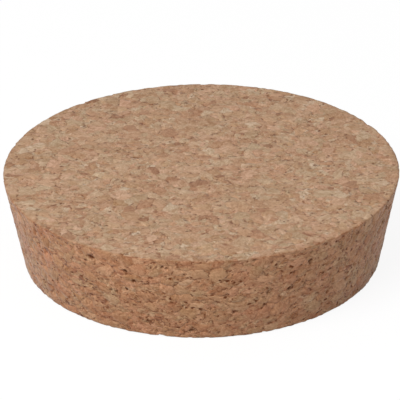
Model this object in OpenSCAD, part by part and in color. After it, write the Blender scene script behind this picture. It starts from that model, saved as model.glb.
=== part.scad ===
// Tapered stopper of pressed cork granules, for the mouth of a wide round jar.
// It is ground from one pressed blank, so it is one solid: a truncated cone with sanded
// edges, open pores where granules have torn out, and small chips along both edges.
// +Z is up, and the front is towards -Y. The origin is the centre of the lower face, on which
// the stopper stands.

/* [Body] */
// Diameter of the upper face, measured to where it would meet the wall unsanded
top_d = 105; // [100:1:150]
// Diameter of the lower face, which enters the jar first, measured in the same way
base_d = 95; // [70:1:100]
// Height from face to face
height = 25; // [15:1:45]

/* [Sanded edges] */
// Radius of the upper edge
top_edge_r = 0.4; // [0.2:0.1:2]
// Radius of the lower edge
base_edge_r = 0.6; // [0.2:0.1:2]

/* [Open pores] */
// Number of small pores in the wall, besides the large ones at the front
wall_pores = 48; // [0:1:60]
// Number of small pores in the upper face, besides its large ones
top_pores = 9; // [0:1:30]
// Number of small pores in the lower face
base_pores = 12; // [0:1:30]
// Width of the narrowest small pore
pore_min_w = 0.7; // [0.5:0.1:1.3]
// Width of the widest small pore
pore_max_w = 1.5; // [1.4:0.1:2.5]
// Depth of a pore, as a share of its width
pore_depth = 0.5; // [0.2:0.05:0.7]
// Radius round the centre of each face that is left free of small pores
pore_clear_r = 4; // [1:1:10]

/* [Edge chips] */
// Number of chips along the upper edge
top_chips = 12; // [0:1:30]
// Number of chips along the lower edge
base_chips = 8; // [0:1:30]
// Width of the narrowest chip
chip_min_w = 1; // [0.8:0.1:1.5]
// Width of the widest chip
chip_max_w = 2; // [1.6:0.1:4]
// Depth of a chip, as a share of its width
chip_depth = 0.2; // [0.1:0.05:0.4]
// Largest angle by which a chip turns away from the line of its edge
chip_swing = 20; // [0:5:90]

/* [Hollows] */
// Lean of a hollow's sides, which makes its floor deeper at one end
hollow_lean = 18; // [0:1:30]
// Width from which a hollow is a pair, where two granules have gone
pair_min_w = 1.3; // [1:0.1:3]
// Size of a pair's second hollow, as a share of the first
pair_share = 0.7; // [0.4:0.05:0.9]
// Distance between the two hollows of a pair, as a share of the first one's width
pair_pitch = 0.55; // [0.4:0.05:0.7]

/* [Hidden] */
$fn = 96;
cork_colour = "#b08e73";

// Large pores of the wall: angle from the front, height as a share of the whole, width, and
// turn of the hollow about its own axis
large_wall_pores = [
    [-35, 0.5, 1.2, 90],
    [-33.5, 0.86, 1.7, 100],
    [-32, 0.1, 1.1, 70],
    [-26, 0.5, 1, 0],
    [-20, 0.68, 1.4, 45],
    [-10, 0.89, 1.1, 60],
    [-5, 0.82, 1.1, 10],
    [-3.5, 0.1, 1.3, 90],
    [20, 0.9, 1.1, 120],
    [27.5, 0.71, 1.2, 0],
    [32.5, 0.8, 1.7, 20],
    [32.5, 0.91, 1, 0],
    [41, 0.3, 1.1, 10],
    [52, 0.49, 1.2, 0],
];
// Large pores of the upper face: angle from the front, distance from the axis as a share of
// the face's radius, width, and turn of the hollow
large_top_pores = [
    [-113, 0.36, 2.2, 200],
    [141, 0.17, 1.7, -50],
    [104, 0.57, 1.7, -15],
    [-155, 0.91, 1.4, 240],
    [58, 0.74, 1.4, 30],
    [-15, 0.78, 1.5, 105],
];

top_r = top_d / 2;
base_r = base_d / 2;
// Lean of the wall from upright, outwards towards the top
taper = atan((top_r - base_r) / height);
// Distance from the axis of the centre of each sanded edge's arc, which is tangent to the wall
// and to the face
top_arc_x = top_r - top_edge_r * (1 + sin(taper)) / cos(taper);
base_arc_x = base_r - base_edge_r * (1 - sin(taper)) / cos(taper);
// Direction halfway round each sanded edge, turned from +Z towards the outside
top_edge_tilt = (90 + taper) / 2;
base_edge_tilt = (90 + taper + 180) / 2;
// Flat steps that follow each sanded edge's arc
arc_steps = 4;
// Clear distance from the centre of a small pore to the start of a sanded edge
pore_margin = pore_max_w;
// Number of sides of a hollow, and of the second one of a pair
hollow_sides = 6;
pair_sides = 5;

// A number from 0 to 1 for item i of a series: it looks random, and is the same on every
// build. Each use has a series of its own. The factors have no meaning beyond a good spread.
function scatter(i, series) =
    let (v = 437.585 * sin(127.1 * i + 74.7 * series + 12.9))
    v - floor(v);

// Angle of item i of n that are spread round the axis, each moved on by up to a step
function scattered_angle(i, n, series) = (i + scatter(i, series)) * 360 / n;

// A width between two limits, with more small ones than large ones
function scattered_width(i, series, low, high) = low + (high - low) * pow(scatter(i, series), 2);

// Radius of the wall at height z
function wall_r(z) = base_r + z * tan(taper);

// Points of an arc from one angle to another, round a centre
function arc(centre, r, from, to) = [
    for (k = [0 : arc_steps])
        let (a = from + (to - from) * k / arc_steps)
        centre + r * [cos(a), sin(a)]
];

// The blank as it is turned and sanded, before any granule is lost
module ground_blank() {
    rotate_extrude()
        polygon(concat(
            [[0, height], [0, 0]],
            arc([base_arc_x, base_edge_r], base_edge_r, -90, -taper),
            arc([top_arc_x, height - top_edge_r], top_edge_r, -taper, 90)
        ));
}

// The hollow that a torn-out granule leaves in the plane z = 0: a short prism that leans over
module granule_hollow(width, depth, sides) {
    rotate([hollow_lean, 0, 0])
        translate([0, 0, -depth])
            cylinder(d = width, h = depth + width, $fn = sides);
}

// One hollow, or a pair of them where the hollow is wide, turned by the given angle
module pore(width, depth, turn) {
    rotate(turn) {
        granule_hollow(width, depth, hollow_sides);
        if (width >= pair_min_w)
            translate([width * pair_pitch, 0, 0])
                granule_hollow(width * pair_share, depth * pair_share, pair_sides);
    }
}

// Turns its children about the axis, to an angle measured from the front
module from_front(angle) {
    rotate(angle - 90)
        children();
}

// Places its children on the wall, with their +Z pointing straight out of it
module on_wall(angle, z) {
    from_front(angle)
        translate([wall_r(z), 0, z])
            rotate([0, 90 + taper, 0])
                children();
}

// Places its children halfway round a sanded edge, with their +Z pointing out of it
module on_edge(angle, arc_x, arc_z, edge_r, tilt) {
    from_front(angle)
        translate([arc_x + edge_r * sin(tilt), 0, arc_z + edge_r * cos(tilt)])
            rotate([0, tilt, 0])
                children();
}

module large_wall_pore_cuts() {
    for (p = large_wall_pores)
        on_wall(p[0], height * p[1])
            pore(p[2], p[2] * pore_depth, p[3]);
}

module small_wall_pore_cuts() {
    low = base_edge_r + pore_margin;
    high = height - top_edge_r - pore_margin;
    for (i = [0 : 1 : wall_pores - 1]) {
        width = scattered_width(i, 1, pore_min_w, pore_max_w);
        on_wall(scattered_angle(i, wall_pores, 2), low + (high - low) * scatter(i, 3))
            pore(width, width * pore_depth, 360 * scatter(i, 4));
    }
}

module large_top_pore_cuts() {
    for (p = large_top_pores)
        from_front(p[0])
            translate([top_arc_x * p[1], 0, 0])
                pore(p[2], p[2] * pore_depth, p[3]);
}

// Small pores of a face in the plane z = 0, spread evenly over the ring between its clear
// centre and its edge
module small_face_pore_cuts(count, face_r, series) {
    outer = face_r - pore_margin;
    for (i = [0 : 1 : count - 1]) {
        width = scattered_width(i, series, pore_min_w, pore_max_w);
        share = scatter(i, series + 1);
        r = sqrt(pow(pore_clear_r, 2) * (1 - share) + pow(outer, 2) * share);
        from_front(scattered_angle(i, count, series + 2))
            translate([r, 0, 0])
                pore(width, width * pore_depth, 360 * scatter(i, series + 3));
    }
}

// Chips along one sanded edge. A chip's pair of hollows lies roughly along the edge.
module chip_cuts(count, arc_x, arc_z, edge_r, tilt, series) {
    for (i = [0 : 1 : count - 1]) {
        width = scattered_width(i, series, chip_min_w, chip_max_w);
        turn = 90 + chip_swing * (2 * scatter(i, series + 2) - 1);
        on_edge(scattered_angle(i, count, series + 1), arc_x, arc_z, edge_r, tilt)
            pore(width, width * chip_depth, turn);
    }
}

module cork_stopper() {
    color(cork_colour)
        difference() {
            ground_blank();
            large_wall_pore_cuts();
            small_wall_pore_cuts();
            translate([0, 0, height]) {
                large_top_pore_cuts();
                small_face_pore_cuts(top_pores, top_arc_x, 5);
            }
            mirror([0, 0, 1])
                small_face_pore_cuts(base_pores, base_arc_x, 9);
            chip_cuts(top_chips, top_arc_x, height - top_edge_r, top_edge_r, top_edge_tilt, 13);
            chip_cuts(base_chips, base_arc_x, base_edge_r, base_edge_r, base_edge_tilt, 16);
        }
}

cork_stopper();
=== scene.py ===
"""Looks of a tapered stopper of pressed cork, laid out as a Blender add-on and run as a script.

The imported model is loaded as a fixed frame. The stopper's plain solid is replaced by a skin of
the same form with its pores, chips and granules worked into it, and that skin gets the finish
of ground pressed cork. A white studio and a camera complete the scene.

Lengths are in metres, apart from values whose name or comment says mm.
"""

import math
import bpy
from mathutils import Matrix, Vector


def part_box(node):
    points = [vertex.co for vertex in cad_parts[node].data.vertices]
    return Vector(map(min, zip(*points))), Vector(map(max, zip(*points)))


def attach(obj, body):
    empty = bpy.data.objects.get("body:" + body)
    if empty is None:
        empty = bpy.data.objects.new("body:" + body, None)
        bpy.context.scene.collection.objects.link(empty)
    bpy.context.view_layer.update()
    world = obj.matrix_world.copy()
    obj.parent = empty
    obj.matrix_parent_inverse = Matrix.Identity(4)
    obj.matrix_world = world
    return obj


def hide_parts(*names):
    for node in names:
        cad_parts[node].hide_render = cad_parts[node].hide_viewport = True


bl_info = {
    "name": "Pressed cork stopper",
    "version": (1, 0, 0),
    "blender": (4, 5, 0),
    "location": "3D View > Sidebar > Cork",
    "description": "Builds the skin, the finish and the studio of a tapered pressed cork stopper",
    "category": "Add Mesh",
}

import bpy
import numpy as np
from mathutils import Matrix, Vector

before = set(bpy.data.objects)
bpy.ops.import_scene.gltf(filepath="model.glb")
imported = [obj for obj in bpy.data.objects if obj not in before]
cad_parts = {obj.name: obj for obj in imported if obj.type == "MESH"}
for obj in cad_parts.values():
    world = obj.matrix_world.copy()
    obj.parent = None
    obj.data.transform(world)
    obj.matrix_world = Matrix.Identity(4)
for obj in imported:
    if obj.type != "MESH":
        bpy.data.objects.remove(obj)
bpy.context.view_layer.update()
NODE = "cork_stopper"
LOW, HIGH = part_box(NODE)
MM = 0.001


def linear(hex_colour):
    """The linear red, green and blue of an sRGB colour such as "#b08e73"."""
    srgb = [int(hex_colour[k:k + 2], 16) / 255 for k in (1, 3, 5)]
    return tuple(c / 12.92 if c <= 0.04045 else ((c + 0.055) / 1.055) ** 2.4 for c in srgb)


# ---------------------------------------------------------------------------------------------
# Sizes and colours that a user would change
# ---------------------------------------------------------------------------------------------


class CorkForm(bpy.types.PropertyGroup):
    """The ground form. Its height and its rim come from the frame."""

    height: bpy.props.FloatProperty(
        name="Height", description="From face to face", default=HIGH.z - LOW.z, unit="LENGTH")
    rim_r: bpy.props.FloatProperty(
        name="Rim radius", description="Largest radius, at the sanded upper edge",
        default=(HIGH.x - LOW.x) / 2, unit="LENGTH")
    wall_lean: bpy.props.FloatProperty(
        name="Wall lean", description="Lean of the wall outwards towards the top",
        default=math.atan(0.2), subtype="ANGLE")
    top_edge_r: bpy.props.FloatProperty(
        name="Upper edge", description="Radius of the sanded upper edge", default=0.4 * MM,
        unit="LENGTH")
    base_edge_r: bpy.props.FloatProperty(
        name="Lower edge", description="Radius of the sanded lower edge", default=0.6 * MM,
        unit="LENGTH")
    face_cells: bpy.props.IntProperty(
        name="Cells across a face", description="Grid cells from side to side of each face",
        default=320, min=16)
    wall_rows: bpy.props.IntProperty(
        name="Rows on the wall", description="Grid rows between the two edges", default=88,
        min=8)
    kept_share: bpy.props.FloatProperty(
        name="Kept share", description="Share of the grid's triangles kept after thinning",
        default=0.29, min=0.01, max=1.0)


class CorkGranules(bpy.types.PropertyGroup):
    """The pressed granules, and what is lost between them. Sizes are in mm."""

    coarse_mm: bpy.props.FloatProperty(
        name="Coarse", description="Usual width of a large granule, mm", default=3.7)
    fine_mm: bpy.props.FloatProperty(
        name="Fine", description="Usual width of a small granule, mm", default=1.8)
    fine_share: bpy.props.FloatProperty(
        name="Fine share", description="Share of the body that is small granules",
        default=0.55, min=0.0, max=1.0)
    crumb_mm: bpy.props.FloatProperty(
        name="Crumb", description="Usual width of a crumb inside the granules, mm", default=1.0)
    flatness: bpy.props.FloatProperty(
        name="Flatness", description="Width of a granule over its height in the pressed sheet",
        default=1.35, min=1.0)
    sheet_mm: bpy.props.FloatVectorProperty(
        name="Place in the sheet", default=(330, -160, 30),
        description="Where in its pressed sheet the stopper was cut, mm")
    level_mm: bpy.props.FloatProperty(
        name="Level", description="How far a granule of the wall can lie below the skin, mm",
        default=0.08)
    round_mm: bpy.props.FloatProperty(
        name="Rounding", description="How far a granule of the wall falls to its edges, mm",
        default=0.12)
    gap_mm: bpy.props.FloatProperty(
        name="Gap", description="Depth of an open gap between granules, mm", default=0.25)
    crumble_mm: bpy.props.FloatProperty(
        name="Crumble", description="Depth to which the two edges have crumbled, mm",
        default=0.14)


class CorkColours(bpy.types.PropertyGroup):
    """Colours of the granules, from the darkest to the palest, and of the pores."""

    bark: bpy.props.FloatVectorProperty(
        name="Bark", subtype="COLOR", default=linear("#9c7052"), description="Bark granules")
    russet: bpy.props.FloatVectorProperty(
        name="Russet", subtype="COLOR", default=linear("#b58969"), description="Reddish granules")
    ochre: bpy.props.FloatVectorProperty(
        name="Ochre", subtype="COLOR", default=linear("#b99370"), description="Ochre granules")
    rose: bpy.props.FloatVectorProperty(
        name="Rose", subtype="COLOR", default=linear("#bf9577"), description="Pinkish granules")
    tan: bpy.props.FloatVectorProperty(
        name="Tan", subtype="COLOR", default=linear("#bd9878"), description="Usual granules")
    sand: bpy.props.FloatVectorProperty(
        name="Sand", subtype="COLOR", default=linear("#b99a7a"), description="Greenish granules")
    cream: bpy.props.FloatVectorProperty(
        name="Cream", subtype="COLOR", default=linear("#c5a88b"), description="Pale granules")
    # Also used for the painted shade deep in the pores and along the two rims.
    pore: bpy.props.FloatVectorProperty(
        name="Pore", subtype="COLOR", default=linear("#602c0a"), description="Inside a pore")
    cut: bpy.props.FloatVectorProperty(
        name="Cut tint", subtype="COLOR", default=linear("#ffebdc"),
        description="Filter over the granules where the wall cuts across them")


class CorkStudio(bpy.types.PropertyGroup):
    """Light and camera."""

    world_level: bpy.props.FloatProperty(
        name="World", description="Strength of the white surroundings", default=0.44)
    key_w: bpy.props.FloatProperty(
        name="Key light", description="Power of the large soft light, W", default=10.0)
    key_azimuth: bpy.props.FloatProperty(
        name="Key azimuth", description="Direction of the key light, from +X towards +Y",
        default=math.radians(-128), subtype="ANGLE")
    key_elevation: bpy.props.FloatProperty(
        name="Key elevation", description="Angle of the key light above the ground",
        default=math.radians(50), subtype="ANGLE")
    key_distance: bpy.props.FloatProperty(
        name="Key distance", description="From the stopper", default=1.2, unit="LENGTH")
    camera_distance: bpy.props.FloatProperty(
        name="Camera distance", description="From the middle of the upper face",
        default=0.945, unit="LENGTH")
    camera_elevation: bpy.props.FloatProperty(
        name="Camera elevation", description="Angle above the upper face",
        default=math.radians(26.6), subtype="ANGLE")
    lens_mm: bpy.props.FloatProperty(
        name="Lens", description="Focal length on a 36 mm sensor", default=321.5)


# ---------------------------------------------------------------------------------------------
# Repeatable randomness
# ---------------------------------------------------------------------------------------------


def scatter(i, series):
    """A number from 0 to 1 for item i of a series: the fraction of 437.585 times a sine. The
    plain solid has its pores placed by the same rule, so the skin's pores lie on them."""
    value = 437.585 * np.sin(np.radians(127.1 * i + 74.7 * series + 12.9))
    return value - np.floor(value)


def turned_bits(word, bits):
    return (word << np.uint32(bits)) | (word >> np.uint32(32 - bits))


def hash_words(*words):
    """The hash that Blender's Voronoi texture makes of three or four 32-bit words: they are
    stirred into three sums by turning their bits, subtracting, and exclusive or."""
    start = np.uint32((0xDEADBEEF + (len(words) << 2) + 13) & 0xFFFFFFFF)
    a, b, c = (start + word for word in words[:3])
    if len(words) > 3:
        for bits in (4, 6, 8, 16, 19, 4):
            a = (a - c) ^ turned_bits(c, bits)
            a, b, c = b, c + b, a
        a = a + words[3]
    for bits in (14, 11, 25, 16, 4, 14, 24):
        c = (c ^ b) - turned_bits(b, bits)
        a, b, c = b, c, a
    return b


def cell_numbers(cells):
    """Three numbers from 0 to 1 for each whole-numbered cell, the same as the Color output of
    Blender's Voronoi texture. The cell's granule has its centre at the cell's lowest corner
    plus these numbers."""
    words = [cells[..., k].astype(np.float32).view(np.uint32) for k in range(3)]
    one, two = np.float32([1, 2]).view(np.uint32)
    with np.errstate(over="ignore"):
        found = [hash_words(*words), hash_words(*words, one), hash_words(*words, two)]
    return np.stack(found, axis=-1) / float(0xFFFFFFFF)


def smooth(t):
    """0 below 0, 1 above 1, and an even S between."""
    t = np.clip(t, 0, 1)
    return t * t * (3 - 2 * t)


def noise(points, pitch, start):
    """Three smooth noises from -1 to 1: the numbers of the cells at the eight corners round a
    point, blended by how near the point is to each along each axis. start is the cell that
    lies at the origin, so that noises with different starts are unlike."""
    at = points / pitch + start
    low = np.floor(at)
    share = smooth(at - low)
    total = np.zeros_like(points)
    for corner in np.ndindex(2, 2, 2):
        weight = np.prod(np.where(corner, share, 1 - share), axis=1)
        total += weight[:, None] * cell_numbers(low + corner)
    return 2 * total - 1


# ---------------------------------------------------------------------------------------------
# Granules
# ---------------------------------------------------------------------------------------------


# Each noise and each set of voids starts at a cell of its own, so that no two are alike.
BEND_START, ROUGH_START, GAP_START, CRUMBLE_START, HOLLOW_START = 40, 20, 60, 70, 90
VOID_START, VOID_SIZE_START = 200, 500

# How far pressing has bent the granules, and the length over which that changes, in mm
BEND_MM, BEND_PITCH_MM = 0.7, 5.0


def bent(points_mm, grain):
    """Where a point of the body lay in its sheet before pressing flattened the granules and
    bent them out of shape: the point moved by a slow noise, its height times the flatness, and
    the stopper's own place in the sheet added. The material draws its granules at these places
    too, from an attribute."""
    moved = points_mm + BEND_MM * noise(points_mm, BEND_PITCH_MM, BEND_START)
    return moved * (1, 1, grain.flatness) + np.array(grain.sheet_mm)


def nearest_granules(places, width):
    """For each place, the distance to the edge of its granule, in the unit of width, and its
    granule's three numbers. A granule is what lies nearer to its centre than to any other, and
    the edge is taken to lie halfway between the two nearest centres."""
    at = places / width
    home = np.floor(at)
    first = np.full(len(at), np.inf)
    second = first.copy()
    numbers = np.zeros_like(at)
    for step in np.ndindex(3, 3, 3):
        cells = home + step - 1
        found = cell_numbers(cells)
        distance = np.linalg.norm(cells + found - at, axis=1)
        nearer = distance < first
        second = np.where(nearer, first, np.minimum(second, distance))
        first = np.where(nearer, distance, first)
        numbers[nearer] = found[nearer]
    return (second - first) / 2 * width, numbers


def granules(places, grain):
    """Distance in mm to the nearest granule edge, and the granule's numbers. Coarse granules
    fill the body, and a share of them is broken up into fine ones."""
    edge, numbers = nearest_granules(places, grain.coarse_mm)
    fine_edge, fine_numbers = nearest_granules(places, grain.fine_mm)
    broken = numbers[:, 2] < grain.fine_share
    edge = np.where(broken, np.minimum(edge, fine_edge), edge)
    return edge, np.where(broken[:, None], fine_numbers, numbers)


# ---------------------------------------------------------------------------------------------
# The skin
# ---------------------------------------------------------------------------------------------


def disc_points(cells):
    """A unit disc as a square grid pressed round: a point's distance from the middle is the
    larger of its two coordinates, and its angle is an eighth of a turn times the ratio of the
    smaller to the larger, counted from the larger one's axis."""
    line = np.linspace(-1, 1, cells + 1)
    a, b = np.meshgrid(line, line, indexing="ij")
    wide = np.abs(a) > np.abs(b)
    r = np.where(wide, a, b)
    ratio = np.where(wide, b, a) / np.where(r == 0, 1, r)
    turn = np.where(wide, math.pi / 4 * ratio, math.pi / 2 - math.pi / 4 * ratio)
    return np.stack([r * np.cos(turn), r * np.sin(turn)], axis=-1).reshape(-1, 2)


def ring_order(cells):
    """Numbers of the disc's outermost points, once round from the corner at -45 degrees."""
    number = np.arange((cells + 1) ** 2).reshape(cells + 1, cells + 1)
    return np.concatenate([
        number[-1, :-1], number[:0:-1, -1], number[0, :0:-1], number[:-1, 0]])


def quads(rows):
    """Quads between neighbouring rows and columns of a grid of point numbers."""
    return np.stack([rows[:-1, :-1], rows[1:, :-1], rows[1:, 1:], rows[:-1, 1:]],
                    axis=-1).reshape(-1, 4)


def edge_arcs(form):
    """Centre (distance from the axis, height) of each sanded edge's arc, which is tangent to
    the wall and to the face, as (upper, lower)."""
    lean, rise = form.wall_lean, form.top_edge_r
    top_x = form.rim_r - rise * math.cos(lean)
    corner_x = top_x + rise * (1 + math.sin(lean)) / math.cos(lean)
    base_x = (corner_x - form.height * math.tan(lean)
              - form.base_edge_r * (1 - math.sin(lean)) / math.cos(lean))
    return (top_x, form.height - rise), (base_x, form.base_edge_r)


def wall_section(form, rows, arc_rows=5):
    """Points and normals of half the section, from the upper face's rim to the lower face's:
    the upper arc, the wall as evenly spaced points, and the lower arc."""
    (top_x, top_z), (base_x, base_z) = edge_arcs(form)
    lean = form.wall_lean
    upper = np.linspace(math.pi / 2, -lean, arc_rows)
    lower = np.linspace(-lean, -math.pi / 2, arc_rows)
    turns = np.concatenate([upper, np.full(rows - 1, -lean), lower])
    normals = np.stack([np.cos(turns), np.sin(turns)], axis=1)
    on_top = np.array([top_x, top_z]) + form.top_edge_r * normals[:arc_rows]
    on_base = np.array([base_x, base_z]) + form.base_edge_r * normals[-arc_rows:]
    share = np.linspace(0, 1, rows + 1)[1:-1, None]
    wall = on_top[-1] * (1 - share) + on_base[0] * share
    return np.concatenate([on_top, wall, on_base]), normals


def ground_skin(form):
    """Points, normals and faces of the closed skin before anything is lost from it: a face
    grid, the wall as its section carried round the axis, and the other face grid. The wall has
    a column for each outermost point of the faces."""
    cells = form.face_cells
    disc, ring = disc_points(cells), ring_order(cells)
    section, section_normals = wall_section(form, form.wall_rows)
    round_the_axis = disc[ring]

    def face(r, z, up):
        points = np.column_stack([disc * r, np.full(len(disc), z)])
        return points, np.broadcast_to((0.0, 0.0, up), points.shape)

    def carried(profile):
        sideways = profile[:, None, :1] * round_the_axis[None]
        upwards = np.broadcast_to(profile[:, None, 1:], sideways.shape[:2] + (1,))
        return np.concatenate([sideways, upwards], axis=-1).reshape(-1, 3)

    top, top_normals = face(section[0, 0], section[0, 1], 1.0)
    base, base_normals = face(section[-1, 0], section[-1, 1], -1.0)
    points = np.concatenate([top, carried(section[1:-1]), base])
    normals = np.concatenate([top_normals, carried(section_normals[1:-1]), base_normals])

    inner = len(top) + np.arange((len(section) - 2) * len(ring)).reshape(-1, len(ring))
    base_start = len(top) + inner.size
    rows = np.vstack([ring, inner, base_start + ring])
    rows = np.hstack([rows, rows[:, :1]])
    grid = np.arange(len(top)).reshape(cells + 1, cells + 1)
    faces = np.concatenate([quads(grid), quads(rows), base_start + quads(grid)[:, ::-1]])
    return points, normals, faces


# ---------------------------------------------------------------------------------------------
# What is lost from the skin
# ---------------------------------------------------------------------------------------------

# The plain solid's pores and chips, in mm and degrees, with the same values as in its source.
# Large pores of the wall: angle from the front, share of the height, width, turn
LARGE_WALL_PORES = [
    (-35, 0.5, 1.2, 90), (-33.5, 0.86, 1.7, 100), (-32, 0.1, 1.1, 70), (-26, 0.5, 1, 0),
    (-20, 0.68, 1.4, 45), (-10, 0.89, 1.1, 60), (-5, 0.82, 1.1, 10), (-3.5, 0.1, 1.3, 90),
    (20, 0.9, 1.1, 120), (27.5, 0.71, 1.2, 0), (32.5, 0.8, 1.7, 20), (32.5, 0.91, 1, 0),
    (41, 0.3, 1.1, 10), (52, 0.49, 1.2, 0),
]
# Large pores of the upper face: angle from the front, share of the face's radius, width, turn
LARGE_TOP_PORES = [
    (-113, 0.36, 2.2, 200), (141, 0.17, 1.7, -50), (104, 0.57, 1.7, -15),
    (-155, 0.91, 1.4, 240), (58, 0.74, 1.4, 30), (-15, 0.78, 1.5, 105),
]
WALL_PORES, TOP_PORES, BASE_PORES, TOP_CHIPS, BASE_CHIPS = 48, 9, 12, 12, 8
PORE_WIDTHS, CHIP_WIDTHS = (0.7, 1.5), (1.0, 2.0)
PORE_DEPTH, CHIP_DEPTH = 0.5, 0.2
CHIP_SWING, HOLLOW_LEAN = 20, math.radians(18)
PORE_CLEAR_R = 4
PAIR_MIN_W, PAIR_SHARE, PAIR_PITCH = 1.3, 0.7, 0.55
HOLLOW_SIDES, PAIR_SIDES = 6, 5

# The outline of a pressed hollow: how rough it is and the pitch of that roughness, as shares of
# the hollow, and where its slope starts and how wide it is, as shares of the way to a side
HOLLOW_ROUGH, HOLLOW_ROUGH_PITCH = 0.22, 0.4
HOLLOW_RIM, HOLLOW_SLOPE = 1.12, 0.3

# Voids of the blank: their pitch, smallest and largest radius in mm, and the share of them that
# is open on a face and on the wall
VOID_PITCH_MM, VOID_RADII_MM, VOID_SHARES = 2.9, (0.25, 0.7), (0.15, 0.5)
VOID_ROUGH_MM, VOID_ROUGH_PITCH_MM = 0.25, 0.9

# Lengths in mm over which the relief changes: a granule's rounding and a gap from its edge, and
# the fading by the two sanded edges
ROUND_REACH_MM, GAP_REACH_MM, FADE_MM = 0.7, 0.4, 1.2
# Pitch of the noises that open the gaps and crumble the edges, mm
GAP_PITCH_MM, CRUMBLE_PITCH_MM = 1.7, 1.1
# Share of the granules' relief that sanding has taken from the faces
FACE_SANDED = 0.7


def scattered_angle(i, count, series):
    return (i + scatter(i, series)) * 360 / count


def scattered_width(i, series, widths):
    return widths[0] + (widths[1] - widths[0]) * scatter(i, series) ** 2


def seat(angle, r, z, tilt, flipped=False):
    """The frame of a hollow in mm: +Z is turned from straight up by tilt towards the outside,
    and the whole is turned about the axis to an angle from the front. flipped mirrors it to
    the lower face."""
    place = (Matrix.Rotation(math.radians(angle - 90), 4, "Z")
             @ Matrix.Translation((r, 0, z)) @ Matrix.Rotation(tilt, 4, "Y"))
    return Matrix.Scale(-1, 4, (0, 0, 1)) @ place if flipped else place


def hollow_list(form):
    """(frame, width, depth, turn) of every pore and chip of the plain solid, in mm."""
    height = form.height / MM
    (top_x, top_z), (base_x, base_z) = np.array(edge_arcs(form)) / MM
    top_edge, base_edge = form.top_edge_r / MM, form.base_edge_r / MM
    lean = form.wall_lean
    foot_r = base_x + base_edge * (1 - math.sin(lean)) / math.cos(lean)
    found = []

    def wall(angle, z, width, turn):
        place = seat(angle, foot_r + z * math.tan(lean), z, math.pi / 2 + lean)
        found.append((place, width, width * PORE_DEPTH, turn))

    def face(count, face_r, z, series, flipped):
        outer = face_r - PORE_WIDTHS[1]
        for i in range(count):
            width = scattered_width(i, series, PORE_WIDTHS)
            share = scatter(i, series + 1)
            r = math.sqrt(PORE_CLEAR_R ** 2 * (1 - share) + outer ** 2 * share)
            place = seat(scattered_angle(i, count, series + 2), r, z, 0, flipped)
            found.append((place, width, width * PORE_DEPTH, 360 * scatter(i, series + 3)))

    def chips(count, x, z, edge_r, tilt, series):
        for i in range(count):
            width = scattered_width(i, series, CHIP_WIDTHS)
            turn = 90 + CHIP_SWING * (2 * scatter(i, series + 2) - 1)
            place = seat(scattered_angle(i, count, series + 1), x + edge_r * math.sin(tilt),
                         z + edge_r * math.cos(tilt), tilt)
            found.append((place, width, width * CHIP_DEPTH, turn))

    for angle, share, width, turn in LARGE_WALL_PORES:
        wall(angle, height * share, width, turn)
    low, high = base_edge + PORE_WIDTHS[1], height - top_edge - PORE_WIDTHS[1]
    for i in range(WALL_PORES):
        wall(scattered_angle(i, WALL_PORES, 2), low + (high - low) * scatter(i, 3),
             scattered_width(i, 1, PORE_WIDTHS), 360 * scatter(i, 4))
    for angle, share, width, turn in LARGE_TOP_PORES:
        found.append((seat(angle, top_x * share, height, 0), width, width * PORE_DEPTH, turn))
    face(TOP_PORES, top_x, height, 5, False)
    face(BASE_PORES, base_x, 0, 9, True)
    chips(TOP_CHIPS, top_x, top_z, top_edge, (math.pi / 2 + lean) / 2, 13)
    chips(BASE_CHIPS, base_x, base_z, base_edge, (math.pi * 1.5 + lean) / 2, 16)
    return found


def press_hollow(points_mm, place, width, depth, sides):
    """Presses the skin down to the floor of a leaning prism. A point's sideways distance is
    measured as a share of the way to the prism's nearest side, roughened by a noise, and it
    goes to the floor where that share is small, and part of the way near the side."""
    centre = np.array(place.translation)
    near = np.flatnonzero(np.abs(points_mm - centre).max(axis=1) < width)
    axes = np.array(place.to_3x3())
    local = (points_mm[near] - centre) @ axes
    turns = (np.arange(sides) + 0.5) * 2 * math.pi / sides
    reach = (local[:, :2] @ np.stack([np.cos(turns), np.sin(turns)])).max(axis=1)
    share = reach / (width / 2 * math.cos(math.pi / sides))
    share += HOLLOW_ROUGH * noise(
        points_mm[near], width * HOLLOW_ROUGH_PITCH, HOLLOW_START)[:, 0]
    floor = local[:, 1] * math.tan(HOLLOW_LEAN) - depth / math.cos(HOLLOW_LEAN)
    fall = np.clip(local[:, 2] - floor, 0, None) * smooth((HOLLOW_RIM - share) / HOLLOW_SLOPE)
    points_mm[near] -= fall[:, None] * axes[:, 2]


def press_hollows(points_mm, form):
    """Presses in every hollow of the plain solid. A wide one is a pair."""
    for place, width, depth, turn in hollow_list(form):
        place = place @ Matrix.Rotation(math.radians(turn), 4, "Z")
        press_hollow(points_mm, place, width, depth, HOLLOW_SIDES)
        if width >= PAIR_MIN_W:
            second = place @ Matrix.Translation((width * PAIR_PITCH, 0, 0))
            press_hollow(points_mm, second, width * PAIR_SHARE, depth * PAIR_SHARE, PAIR_SIDES)


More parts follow.
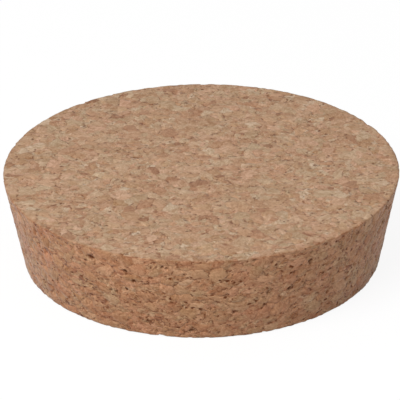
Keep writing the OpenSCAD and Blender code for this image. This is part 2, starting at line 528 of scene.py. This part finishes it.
def void_depth(points_mm, normals):
    """Depth in mm to which voids of the pressed blank lie open. Each cell of their pitch
    has one, a ball at a scattered place, and its far side is the floor wherever its near side
    reaches the skin. Fewer are open on a face, where sanding has closed many, than on the
    wall."""
    pitch, radii, (on_face, on_wall) = VOID_PITCH_MM, VOID_RADII_MM, VOID_SHARES
    share = on_wall + (on_face - on_wall) * np.abs(normals[:, 2])
    at = points_mm / pitch + VOID_START
    home = np.floor(at)
    depth = np.zeros(len(at))
    for step in np.ndindex(3, 3, 3):
        cells = home + step - 1
        numbers = cell_numbers(cells)
        away = (cells + numbers - at) * pitch
        rise = np.einsum("ij,ij->i", away, normals)
        chance, size, _ = cell_numbers(cells + VOID_SIZE_START).T
        r = radii[0] + (radii[1] - radii[0]) * size ** 2
        half = np.sqrt(np.clip(r ** 2 - (away ** 2).sum(axis=1) + rise ** 2, 0, None))
        is_open = (chance < share) & (rise + half > 0)
        depth = np.where(is_open, np.maximum(depth, half - rise), depth)
    return depth


def gap_mask(points_mm):
    """From 0 to 1: how open the gaps between granules are, from a noise, so that a gap runs
    along a granule's edge for a short way and closes again."""
    return smooth((noise(points_mm, GAP_PITCH_MM, GAP_START)[:, 0] - 0.3) / 0.25)


def worn_skin(form, grain):
    """The ground skin with its granules lying at slightly different levels, gaps open along
    parts of their edges, voids laid open, and the plain solid's hollows pressed in. All but
    the hollows fade out by the sanded edges, which have crumbled a little, by a noise."""
    points, normals, faces = ground_skin(form)
    points_mm = points / MM
    edge, numbers = granules(bent(points_mm, grain), grain)
    depth = grain.level_mm * numbers[:, 1]
    depth += grain.round_mm * (1 - smooth(edge / ROUND_REACH_MM))
    depth *= 1 - FACE_SANDED * np.abs(normals[:, 2])
    depth += grain.gap_mm * gap_mask(points_mm) * smooth(1 - edge / GAP_REACH_MM)
    voids = void_depth(
        points_mm + VOID_ROUGH_MM * noise(points_mm, VOID_ROUGH_PITCH_MM, ROUGH_START), normals)
    inner = np.maximum(*below_ground(points_mm, form))
    depth = np.maximum(depth, voids) * smooth(inner / FADE_MM)
    crumbled = smooth(0.4 + noise(points_mm, CRUMBLE_PITCH_MM, CRUMBLE_START)[:, 1])
    depth += grain.crumble_mm * crumbled * smooth(1 - inner)
    points_mm -= normals * depth[:, None]
    press_hollows(points_mm, form)
    return points_mm * MM, faces


def below_ground(points_mm, form):
    """Distances in mm from each point in to the nearer face and to the wall of the ground
    form."""
    height = form.height / MM
    _, (base_x, _) = np.array(edge_arcs(form)) / MM
    lean = form.wall_lean
    foot_r = base_x + form.base_edge_r / MM * (1 - math.sin(lean)) / math.cos(lean)
    r = np.hypot(points_mm[:, 0], points_mm[:, 1])
    to_wall = (foot_r + points_mm[:, 2] * math.tan(lean) - r) * math.cos(lean)
    return np.minimum(height - points_mm[:, 2], points_mm[:, 2]), to_wall


def make_mesh(name, points, faces):
    mesh = bpy.data.meshes.new(name)
    mesh.vertices.add(len(points))
    mesh.vertices.foreach_set("co", points.astype(np.float32).ravel())
    mesh.loops.add(faces.size)
    mesh.loops.foreach_set("vertex_index", faces.astype(np.int32).ravel())
    mesh.polygons.add(len(faces))
    mesh.polygons.foreach_set("loop_start", np.arange(0, faces.size, faces.shape[1]))
    mesh.update(calc_edges=True)
    mesh.validate()
    return mesh


def thinned(piece, share):
    """Replaces the piece's mesh by one with a share of its triangles, kept where it bends."""
    thin = piece.modifiers.new("thin", "DECIMATE")
    thin.ratio = share
    depsgraph = bpy.context.evaluated_depsgraph_get()
    mesh = bpy.data.meshes.new_from_object(piece.evaluated_get(depsgraph))
    piece.modifiers.clear()
    piece.data = mesh


def store(mesh, name, kind, values):
    """Stores a value for each point of the mesh as an attribute that a material can read."""
    field = "vector" if kind == "FLOAT_VECTOR" else "value"
    attribute = mesh.attributes.new(name, kind, "POINT")
    attribute.data.foreach_set(field, values.astype(np.float32).ravel())


def mesh_points(mesh):
    points = np.zeros(len(mesh.vertices) * 3, np.float32)
    mesh.vertices.foreach_get("co", points)
    return points.reshape(-1, 3).astype(float)


# ---------------------------------------------------------------------------------------------
# Finish
# ---------------------------------------------------------------------------------------------


def add(tree, kind, inputs=None, stops=None, **settings):
    """Adds a node of that kind with its own settings. inputs maps a socket's name or number to
    a value or to the output that feeds it, and stops are a ramp's places and colours."""
    node = tree.nodes.new(kind)
    for name, value in settings.items():
        setattr(node, name, value)
    for name, value in (inputs or {}).items():
        if isinstance(value, bpy.types.NodeSocket):
            tree.links.new(value, node.inputs[name])
        else:
            node.inputs[name].default_value = value
    for k, (place, colour) in enumerate(stops or ()):
        element = node.color_ramp.elements
        stop = element[k] if k < len(element) else element.new(place)
        stop.position = place
        stop.color = (*colour, 1)
    return node


MATH, VECTOR, MIX = "ShaderNodeMath", "ShaderNodeVectorMath", "ShaderNodeMix"
RANGE, PARTS = "ShaderNodeMapRange", "ShaderNodeSeparateXYZ"
NOISE, CELLS, STORED = "ShaderNodeTexNoise", "ShaderNodeTexVoronoi", "ShaderNodeAttribute"

# Sizes in mm: the patches in which granule edges show or open, the cells that hold a small pore
# each, the drift of tone over the sheet, and the band over which face turns to wall
PATCH_MM, DOT_MM, DRIFT_MM, RIM_BAND_MM = 1.25, 1.8, 6.25, 0.9


def shaken(tree, points, pitch, reach, detail):
    """The points moved by up to about reach mm of a noise that changes over pitch mm."""
    shake = add(tree, NOISE, {
        "Vector": points, "Scale": 1 / pitch, "Detail": detail, "Roughness": 0.6}
        ).outputs["Color"]
    move = add(tree, VECTOR, {0: shake, 1: (0.5, 0.5, 0.5)}, operation="SUBTRACT").outputs[0]
    return add(tree, VECTOR, {0: move, 1: (3 * reach,) * 3, 2: points},
               operation="MULTIPLY_ADD").outputs[0]


def granule_cells(tree, place, width):
    """Three numbers of the granule that a place lies in, and the distance in mm to its edge."""
    numbers = add(tree, CELLS, {"Vector": place, "Scale": 1 / width}).outputs["Color"]
    inside = add(tree, CELLS, {"Vector": place, "Scale": 1 / width},
                 feature="DISTANCE_TO_EDGE").outputs["Distance"]
    return numbers, add(tree, MATH, {0: inside, 1: width}, operation="MULTIPLY").outputs[0]


def mixed_granules(tree, place, grain):
    """Numbers and edge distance of the coarse granules, a share of which is broken up into
    fine ones, as in the skin."""
    coarse, coarse_edge = granule_cells(tree, place, grain.coarse_mm)
    fine, fine_edge = granule_cells(tree, place, grain.fine_mm)
    third = add(tree, PARTS, {0: coarse}).outputs["Z"]
    broken = add(tree, MATH, {0: third, 1: grain.fine_share}, operation="LESS_THAN").outputs[0]
    numbers = add(tree, MIX, {0: broken, 4: coarse, 5: fine}, data_type="VECTOR").outputs[1]
    nearest = add(tree, MATH, {0: coarse_edge, 1: fine_edge}, operation="MINIMUM").outputs[0]
    return numbers, add(tree, MIX, {0: broken, 2: coarse_edge, 3: nearest}).outputs[0]


def growth_lines(tree, place, numbers):
    """From 0 to 1: fine lines of bark growth, along a direction of each granule's own."""
    turns = add(tree, VECTOR, {0: numbers, 3: 2 * math.pi}, operation="SCALE").outputs[0]
    turned = add(tree, "ShaderNodeVectorRotate", {"Vector": place, "Rotation": turns},
                 rotation_type="EULER_XYZ").outputs[0]
    along = add(tree, VECTOR, {0: turned, 1: (0.55, 1.95, 1.95)}, operation="MULTIPLY").outputs[0]
    return add(tree, NOISE, {"Vector": along, "Scale": 1.0, "Detail": 3.0, "Roughness": 0.6}
               ).outputs["Fac"]


def granule_colour(tree, place, numbers, lines, across, grain, colours):
    """A tone for each granule by its first number, made lighter or darker by its growth lines,
    its crumbs and its second number, more so on the wall. Darker parts are also redder, and a
    slow drift over the sheet goes from redder to greener."""
    number = add(tree, PARTS, {0: numbers}).outputs
    tone = add(tree, "ShaderNodeValToRGB", {0: number["X"]}, stops=[
        (0.0, colours.bark), (0.05, colours.russet), (0.25, colours.ochre),
        (0.45, colours.rose), (0.65, colours.tan), (0.9, colours.sand),
        (1.0, colours.cream)]).outputs["Color"]
    crumbs = add(tree, CELLS, {"Vector": place, "Scale": 1 / grain.crumb_mm}).outputs["Color"]
    crumb = add(tree, PARTS, {0: crumbs}).outputs["X"]
    by_lines = add(tree, RANGE, {0: lines, 1: 0.25, 2: 0.75, 3: -0.27, 4: 0.24}).outputs[0]
    by_crumb = add(tree, RANGE, {0: crumb, 3: -0.1, 4: 0.1}).outputs[0]
    by_granule = add(tree, RANGE, {0: number["Y"], 3: -0.11, 4: 0.11}).outputs[0]
    inside = add(tree, MATH, {0: by_lines, 1: by_crumb}, operation="ADD").outputs[0]
    amount = add(tree, MATH, {0: inside, 1: by_granule}, operation="ADD").outputs[0]
    stronger = add(tree, RANGE, {0: across, 3: 1.0, 4: 1.25}).outputs[0]
    amount = add(tree, MATH, {0: amount, 1: stronger}, operation="MULTIPLY").outputs[0]

    slow = add(tree, NOISE, {"Vector": place, "Scale": 1 / DRIFT_MM, "Detail": 2.0}).outputs["Fac"]
    drift = add(tree, RANGE, {0: slow, 1: 0.25, 2: 0.75, 3: -0.05, 4: 0.05}).outputs[0]
    further = add(tree, RANGE, {0: across, 3: 1.0, 4: 2.0}).outputs[0]
    drift = add(tree, MATH, {0: drift, 1: further}, operation="MULTIPLY").outputs[0]
    drifted = add(tree, VECTOR, {0: drift, 1: (0.0, 1.0, 1.2), 2: (1.0, 1.0, 1.0)},
                  operation="MULTIPLY_ADD").outputs[0]
    shade = add(tree, VECTOR, {0: amount, 1: (1.0, 1.35, 1.75), 2: drifted},
                operation="MULTIPLY_ADD").outputs[0]
    return add(tree, VECTOR, {0: tone, 1: shade}, operation="MULTIPLY").outputs[0]


def edge_lines(tree, edge, patch, across):
    """From 0 to 0.4: faint darker lines along parts of the granules' edges."""
    near = add(tree, RANGE, {0: edge, 1: 0.03, 2: 0.38, 3: 1.0, 4: 0.0},
               interpolation_type="SMOOTHSTEP").outputs[0]
    shown = add(tree, RANGE, {0: patch["X"], 1: 0.45, 2: 0.64}).outputs[0]
    most = add(tree, RANGE, {0: across, 3: 0.28, 4: 0.42}).outputs[0]
    shown = add(tree, MATH, {0: shown, 1: most}, operation="MULTIPLY").outputs[0]
    return add(tree, MATH, {0: near, 1: shown}, operation="MULTIPLY").outputs[0]


def dark_marks(tree, place, edge, patch, across):
    """From 0 to 1: short open gaps along the granules' edges, small pores on them, more of
    both on the wall, the deep hollows, whose darkening with depth is partly their own brown and
    partly painted shade, and painted shade in patches along the two rims."""
    near = add(tree, RANGE, {0: edge, 1: 0.08, 2: 0.34, 3: 1.0, 4: 0.0},
               interpolation_type="SMOOTHSTEP").outputs[0]
    more = add(tree, RANGE, {0: across, 3: 0.0, 4: 0.015}).outputs[0]
    open_share = add(tree, MATH, {0: patch["Y"], 1: more}, operation="ADD").outputs[0]
    opened = add(tree, RANGE, {0: open_share, 1: 0.575, 2: 0.655, 4: 0.75}).outputs[0]
    gap = add(tree, MATH, {0: near, 1: opened}, operation="MULTIPLY").outputs[0]

    dots = add(tree, CELLS, {"Vector": place, "Scale": 1 / DOT_MM}).outputs
    dot_number = add(tree, PARTS, {0: dots["Color"]}).outputs["X"]
    more = add(tree, RANGE, {0: across, 3: -0.11, 4: 0.1}).outputs[0]
    chance = add(tree, MATH, {0: dot_number, 1: more}, operation="ADD").outputs[0]
    dot_r = add(tree, RANGE, {0: chance, 1: 0.57, 2: 0.87, 4: 0.34}).outputs[0]
    within = add(tree, MATH, {0: dot_r, 1: dots["Distance"]}, operation="SUBTRACT").outputs[0]
    dot = add(tree, RANGE, {0: within, 2: 0.14}).outputs[0]
    by_edge = add(tree, RANGE, {0: edge, 1: 0.35, 2: 0.65, 3: 1.0, 4: 0.0}).outputs[0]
    speck = add(tree, MATH, {0: dot, 1: by_edge}, operation="MULTIPLY").outputs[0]

    # Deeper than 0.3 mm the colour goes to the pore colour: partly the pores' own brown inside,
    # partly painted shade in the recess.
    sunk = add(tree, STORED, attribute_name="sunk_mm").outputs["Fac"]
    pit = add(tree, RANGE, {0: sunk, 1: 0.3, 2: 1.0, 4: 0.9},
              interpolation_type="SMOOTHSTEP").outputs[0]
    # Painted shade in patches along the two rims, where their rounded edge catches more light.
    rim = add(tree, STORED, attribute_name="rim").outputs["Fac"]
    rim_shade_patches = add(tree, RANGE, {0: patch["Z"], 1: 0.35, 2: 0.6, 3: 0.1, 4: 0.45}).outputs[0]
    rim_painted_shade = add(tree, MATH, {0: rim, 1: rim_shade_patches}, operation="MULTIPLY").outputs[0]

    small = add(tree, MATH, {0: gap, 1: speck}, operation="MAXIMUM").outputs[0]
    large = add(tree, MATH, {0: pit, 1: rim_painted_shade}, operation="MAXIMUM").outputs[0]
    dark = add(tree, MATH, {0: small, 1: large}, operation="MAXIMUM").outputs[0]
    most = add(tree, RANGE, {0: across, 3: 0.72, 4: 0.86}).outputs[0]
    return add(tree, MATH, {0: dark, 1: most}, operation="MULTIPLY").outputs[0]


def relief_mm(tree, edge, lines, dark, across):
    """Height in mm: growth lines stand up a little, the marks are low, and so are the
    granules' edges, which the faces have sanded nearly flush."""
    fill = add(tree, RANGE, {0: edge, 2: 0.5}, interpolation_type="SMOOTHSTEP").outputs[0]
    fall = add(tree, RANGE, {0: across, 3: 0.04, 4: 0.11}).outputs[0]
    high = add(tree, MATH, {0: fill, 1: fall}, operation="MULTIPLY").outputs[0]
    high = add(tree, MATH, {0: lines, 1: 0.09, 2: high}, operation="MULTIPLY_ADD").outputs[0]
    return add(tree, MATH, {0: dark, 1: -0.12, 2: high}, operation="MULTIPLY_ADD").outputs[0]


def pressed_cork(grain, colours):
    """Pressed (agglomerated) cork, ground and sanded: granules of bark glued under pressure.
    They differ a little in tone, because they are cut across or along the bark's growth, whose
    fine lines run through each. Their edges show as faint lines that open here and there into
    short brown gaps, more of them on the wall, which is cut across the pressed layers and is a
    warmer brown. On the wall, painted shade darkens it towards the narrow end and painted light
    brightens it towards the wide end. Deep in the pores the dark is partly their own brown and
    partly painted shade, and the two rims have painted shade in patches. The surface is matt,
    with a dusty sheen from its torn cell walls."""
    material = bpy.data.materials.new("pressed_cork_ground")
    material.use_nodes = True
    tree = material.node_tree
    tree.nodes.clear()

    # Granule places in mm: the attribute bends the granules as in the skin, and finer noises
    # make their outlines ragged and crumbly.
    bent_place = add(tree, STORED, attribute_name="bent_mm").outputs["Vector"]
    ragged = shaken(tree, bent_place, pitch=1.7, reach=0.55, detail=3.0)
    place = shaken(tree, ragged, pitch=0.4, reach=0.12, detail=1.0)
    across = add(tree, STORED, attribute_name="cut_across").outputs["Fac"]
    patches = add(tree, NOISE, {
        "Vector": place, "Scale": 1 / PATCH_MM, "Detail": 2.0}).outputs["Color"]
    patch = add(tree, PARTS, {0: patches}).outputs

    numbers, edge = mixed_granules(tree, place, grain)
    lines = growth_lines(tree, place, numbers)
    body = granule_colour(tree, place, numbers, lines, across, grain, colours)
    line = edge_lines(tree, edge, patch, across)
    dark = dark_marks(tree, place, edge, patch, across)
    edged = add(tree, MIX, {0: line, 6: body, 7: (*colours.bark, 1)},
                data_type="RGBA").outputs[2]
    # The dark marks go to the pore colour; deep in the pores this is partly painted shade, and
    # along the rims it is painted shade.
    marked = add(tree, MIX, {0: dark, 6: edged, 7: (*colours.pore, 1)},
                 data_type="RGBA").outputs[2]

    # The wall is seen through the cut tint, scaled by height from 0.93 to 1.05: painted shade
    # towards the narrow end and painted light towards the wide end.
    spot = add(tree, "ShaderNodeTexCoord").outputs["Object"]
    up = add(tree, PARTS, {0: spot}).outputs["Z"]
    painted_shade_by_height = add(tree, RANGE, {0: up, 2: HIGH.z, 3: 0.93, 4: 1.05}).outputs[0]
    tinted = add(tree, VECTOR, {0: marked, 1: colours.cut}, operation="MULTIPLY").outputs[0]
    wall_with_painted_shade = add(tree, VECTOR, {0: tinted, 3: painted_shade_by_height}, operation="SCALE").outputs[0]
    colour = add(tree, MIX, {0: across, 4: marked, 5: wall_with_painted_shade}, data_type="VECTOR").outputs[1]

    relief = relief_mm(tree, edge, lines, dark, across)
    bump = add(tree, "ShaderNodeBump", {"Height": relief, "Distance": MM, "Strength": 0.75}
               ).outputs[0]
    shine = add(tree, MATH, {0: dark, 1: -0.5, 2: 0.5}, operation="MULTIPLY_ADD").outputs[0]
    shader = add(tree, "ShaderNodeBsdfPrincipled", {
        "Base Color": colour, "Roughness": 0.65, "IOR": 1.46, "Specular IOR Level": shine,
        "Sheen Weight": 0.22, "Sheen Roughness": 0.3, "Normal": bump})
    add(tree, "ShaderNodeOutputMaterial", {"Surface": shader.outputs[0]})
    return material


WHITE, PAINT = (*linear("#ffffff"), 1), (*linear("#cbcbcb"), 1)


def white_ground():
    """Matt white paint, which shows as plain white wherever no shadow falls. What the camera
    or a reflection sees is mostly an even white, so the shadow stays pale."""
    material = bpy.data.materials.new("white_ground")
    material.use_nodes = True
    tree = material.node_tree
    tree.nodes.clear()
    path = add(tree, "ShaderNodeLightPath").outputs
    seen = add(tree, MATH, {0: path["Is Camera Ray"], 1: path["Is Glossy Ray"]},
               operation="MAXIMUM").outputs[0]
    seen = add(tree, MATH, {0: seen, 1: path["Is Transmission Ray"]},
               operation="MAXIMUM").outputs[0]
    share = add(tree, MATH, {0: seen, 1: 0.8}, operation="MULTIPLY").outputs[0]
    paint = add(tree, "ShaderNodeBsdfDiffuse", {"Color": PAINT})
    white = add(tree, "ShaderNodeEmission", {"Color": WHITE, "Strength": 1.12})
    mixed = add(tree, "ShaderNodeMixShader", {0: share, 1: paint.outputs[0],
                                              2: white.outputs[0]})
    add(tree, "ShaderNodeOutputMaterial", {"Surface": mixed.outputs[0]})
    return material


# ---------------------------------------------------------------------------------------------
# Operators
# ---------------------------------------------------------------------------------------------


# Half the width of the ground, and the width of the soft disc lamp
GROUND_HALF, KEY_SIZE = 3.0, 0.8
# The camera looks at a point a little to the left of the axis, at this share of the height, and
# is turned about its line of sight.
AIM_X, AIM_SHARE, CAMERA_ROLL = -0.0004, 0.621, math.radians(-0.61)


class CORK_OT_skin(bpy.types.Operator):
    """Makes the cork body's skin and its finish, in place of the plain solid."""

    bl_idname = "cork.skin"
    bl_label = "Cork body"

    def execute(self, context):
        form, grain = context.scene.cork_form, context.scene.cork_granules
        points, faces = worn_skin(form, grain)
        piece = bpy.data.objects.new("cork_body", make_mesh("cork_body", points, faces))
        context.collection.objects.link(piece)
        thinned(piece, form.kept_share)
        mesh = piece.data
        points_mm = mesh_points(mesh) / MM
        to_face, to_wall = below_ground(points_mm, form)
        store(mesh, "bent_mm", "FLOAT_VECTOR", bent(points_mm, grain))
        # Depth below the ground form, which the finish turns into the pores' brown and painted
        # shade.
        store(mesh, "sunk_mm", "FLOAT", np.minimum(to_face, to_wall))
        store(mesh, "cut_across", "FLOAT",
              smooth((to_face - to_wall + RIM_BAND_MM / 2) / RIM_BAND_MM))
        # The band of the two rims, where the finish paints shade in patches.
        store(mesh, "rim", "FLOAT", smooth(1 - np.maximum(to_face, to_wall) / RIM_BAND_MM))
        mesh.shade_smooth()
        mesh.materials.append(pressed_cork(grain, context.scene.cork_colours))
        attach(piece, "root")
        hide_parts(NODE)
        return {"FINISHED"}


class CORK_OT_stage(bpy.types.Operator):
    """Makes the white ground, the light and the camera."""

    bl_idname = "cork.stage"
    bl_label = "Studio"

    def execute(self, context):
        scene, studio = context.scene, context.scene.cork_studio
        ground = bpy.data.objects.new("ground", bpy.data.meshes.new("ground"))
        half = GROUND_HALF
        ground.data.from_pydata(
            [(-half, -half, 0), (half, -half, 0), (half, half, 0), (-half, half, 0)], [],
            [(0, 1, 2, 3)])
        ground.data.materials.append(white_ground())
        scene.collection.objects.link(ground)

        world = bpy.data.worlds.new("white_surroundings")
        world.use_nodes = True
        tree = world.node_tree
        tree.nodes.clear()
        path = add(tree, "ShaderNodeLightPath").outputs
        plain = add(tree, "ShaderNodeBackground", {
            "Color": WHITE, "Strength": studio.world_level})
        white = add(tree, "ShaderNodeBackground", {"Color": WHITE, "Strength": 1.0})
        shown = add(tree, "ShaderNodeMixShader", {
            0: path["Is Camera Ray"], 1: plain.outputs[0], 2: white.outputs[0]})
        add(tree, "ShaderNodeOutputWorld", {"Surface": shown.outputs[0]})
        scene.world = world

        key = bpy.data.lights.new("key", "AREA")
        key.shape = "DISK"
        key.size = KEY_SIZE
        key.energy = studio.key_w
        lamp = bpy.data.objects.new("key", key)
        turn, rise = studio.key_azimuth, studio.key_elevation
        lamp.location = studio.key_distance * Vector(
            (math.cos(rise) * math.cos(turn), math.cos(rise) * math.sin(turn), math.sin(rise)))
        lamp.rotation_euler = (-lamp.location).to_track_quat("-Z", "Y").to_euler()
        scene.collection.objects.link(lamp)

        camera = bpy.data.cameras.new("camera")
        camera.lens = studio.lens_mm
        camera.sensor_width = 36
        camera.clip_start = 0.05
        viewer = bpy.data.objects.new("camera", camera)
        top = Vector((0, 0, HIGH.z))
        e = studio.camera_elevation
        viewer.location = top + studio.camera_distance * Vector((0, -math.cos(e), math.sin(e)))
        aim = Vector((AIM_X, 0, HIGH.z * AIM_SHARE))
        look = (aim - viewer.location).to_track_quat("-Z", "Y").to_matrix()
        roll = Matrix.Rotation(CAMERA_ROLL, 3, "Z")
        viewer.rotation_euler = (look @ roll).to_euler()
        scene.collection.objects.link(viewer)
        scene.camera = viewer
        scene.view_settings.view_transform = "Standard"
        return {"FINISHED"}


class CORK_PT_panel(bpy.types.Panel):
    """Lists the operators and their sizes."""

    bl_label = "Pressed cork stopper"
    bl_space_type = "VIEW_3D"
    bl_region_type = "UI"
    bl_category = "Cork"

    def draw(self, context):
        for operator in (CORK_OT_skin, CORK_OT_stage):
            self.layout.operator(operator.bl_idname)
        for group in ("cork_form", "cork_granules", "cork_colours", "cork_studio"):
            values = getattr(context.scene, group)
            for name in values.bl_rna.properties.keys():
                if name not in ("rna_type", "name"):
                    self.layout.prop(values, name)


GROUPS = {"cork_form": CorkForm, "cork_granules": CorkGranules, "cork_colours": CorkColours,
          "cork_studio": CorkStudio}
CLASSES = (*GROUPS.values(), CORK_OT_skin, CORK_OT_stage, CORK_PT_panel)


def register():
    for item in CLASSES:
        bpy.utils.register_class(item)
    for name, group in GROUPS.items():
        setattr(bpy.types.Scene, name, bpy.props.PointerProperty(type=group))


def unregister():
    for name in GROUPS:
        delattr(bpy.types.Scene, name)
    for item in reversed(CLASSES):
        bpy.utils.unregister_class(item)


def main():
    register()
    bpy.ops.cork.skin()
    bpy.ops.cork.stage()


if __name__ == "__main__":
    main()
